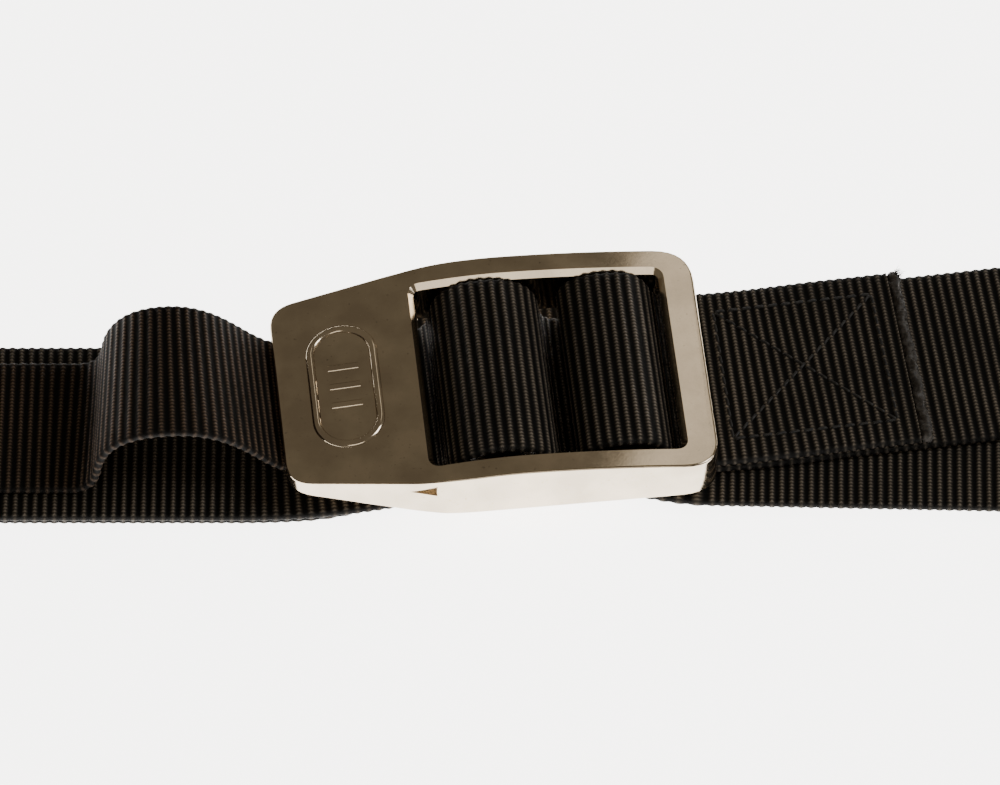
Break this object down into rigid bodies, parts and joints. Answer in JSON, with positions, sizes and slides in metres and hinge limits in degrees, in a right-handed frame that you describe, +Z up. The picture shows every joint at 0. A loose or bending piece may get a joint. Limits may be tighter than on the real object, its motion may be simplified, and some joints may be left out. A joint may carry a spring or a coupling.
{
  "type": "dive weight belt",
  "caption": "Webbing waist belt laid flat as a closed loop, with a cast friction-lock buckle, looped straps and a slack narrow tether on its grip plate.",
  "frame": {"origin": "on the surface that the belt lies on, under the middle of the buckle", "axes": "+X along the buckle from its grip plate towards its end rail, and along the flattened belt; +Z up"},
  "size_m": [0.4275, 0.0894, 0.029],
  "materials": {
    "webbing_black": "ribbed nylon webbing",
    "tether_webbing": "plain woven nylon webbing",
    "thread_black": "bonded nylon thread",
    "melted_nylon": "heat-sealed fuzzy edge",
    "polished_steel": "polished cast stainless steel"
  },
  "bodies": {
    "belt": {"belt_rear": "webbing_black", "belt_turn_left": "webbing_black", "belt_turn_right": "webbing_black", "belt_left": "webbing_black", "belt_tail": "webbing_black", "belt_right": "webbing_black", "sewn_end": "webbing_black", "sewn_end_seal": "melted_nylon", "tail_end_seal": "melted_nylon", "tether_strap": "tether_webbing", "box_stitch": "thread_black", "tether_stitch": "thread_black"},
    "buckle": {"buckle_casting": "polished_steel", "cam_bar": "polished_steel", "pivot_bar": "polished_steel", "tether_bar": "polished_steel", "cam_loop": "webbing_black", "pivot_loop": "webbing_black", "tether_loop": "tether_webbing", "tether_loop_stitch": "thread_black"}
  },
  "joints": [
    {"name": "buckle_lift", "type": "hinge", "parent": "belt", "child": "buckle", "pos_m": [0.0516, 0, 0.00735], "axis": [0, 1, 0], "range_deg": [0, 25]}
  ]
}
